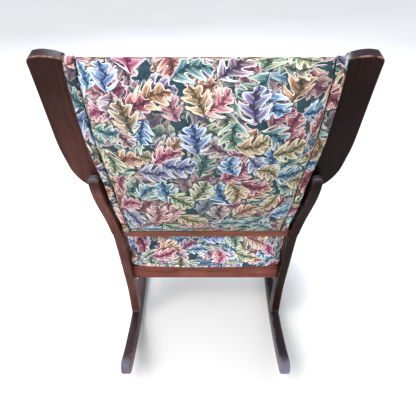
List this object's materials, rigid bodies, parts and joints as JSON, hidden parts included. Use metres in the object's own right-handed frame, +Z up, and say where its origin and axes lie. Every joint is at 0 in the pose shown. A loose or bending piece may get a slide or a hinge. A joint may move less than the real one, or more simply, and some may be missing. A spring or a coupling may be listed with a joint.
{
  "type": "rocking chair",
  "caption": "Rocking chair on curved runners, with a sprung upholstered seat, an upholstered back between board wings, and flat arms on sawn posts.",
  "frame": {"origin": "on the floor, at the middle of the chair's width and length", "axes": "+Z is up, the sitter faces -Y, and +X is to the sitter's left"},
  "size_m": [0.6272, 0.7553, 0.9498],
  "materials": {
    "mahogany": "satin varnish, rubbed at the edges",
    "foot_rail_wood": "satin varnish, redder",
    "frame_wood": "bare",
    "dowel_wood": "bare",
    "screw_steel": "bright",
    "jute_webbing": "woven",
    "spring_steel": "oiled",
    "burlap": "woven",
    "print_cloth": "woven leaf pattern",
    "edge_cloth": "woven leaf pattern",
    "black_cloth": "matt"
  },
  "bodies": {
    "root": {"left_runner": "mahogany", "right_runner": "mahogany", "left_rear_post": "mahogany", "right_rear_post": "mahogany", "left_front_post": "mahogany", "right_front_post": "mahogany", "left_arm": "mahogany", "right_arm": "mahogany", "left_wing": "mahogany", "right_wing": "mahogany", "seat_rear_rail": "mahogany", "seat_front_rail": "mahogany", "left_seat_rail": "mahogany", "right_seat_rail": "mahogany", "back_foot_rail": "foot_rail_wood", "seat_corner_blocks": "frame_wood", "back_left_stile": "frame_wood", "back_right_stile": "frame_wood", "back_top_rail": "frame_wood", "foot_dowels": "dowel_wood", "seat_rail_dowels": "dowel_wood", "back_dowels": "dowel_wood", "arm_dowels": "dowel_wood", "corner_block_screws": "screw_steel", "wing_screws": "screw_steel", "wing_lap_screws": "screw_steel", "seat_webbing_lengthwise": "jute_webbing", "seat_webbing_crosswise": "jute_webbing", "back_webbing_upright": "jute_webbing", "back_webbing_crosswise": "jute_webbing", "seat_springs": "spring_steel", "seat_burlap": "burlap", "back_burlap": "burlap", "outside_back_lining": "burlap", "seat_cushion": "print_cloth", "inside_back_cushion": "print_cloth", "outside_back_panel": "print_cloth", "seat_gimp": "edge_cloth", "left_back_band": "edge_cloth", "right_back_band": "edge_cloth", "top_back_band": "edge_cloth", "dust_cover": "black_cloth"}
  },
  "joints": []
}
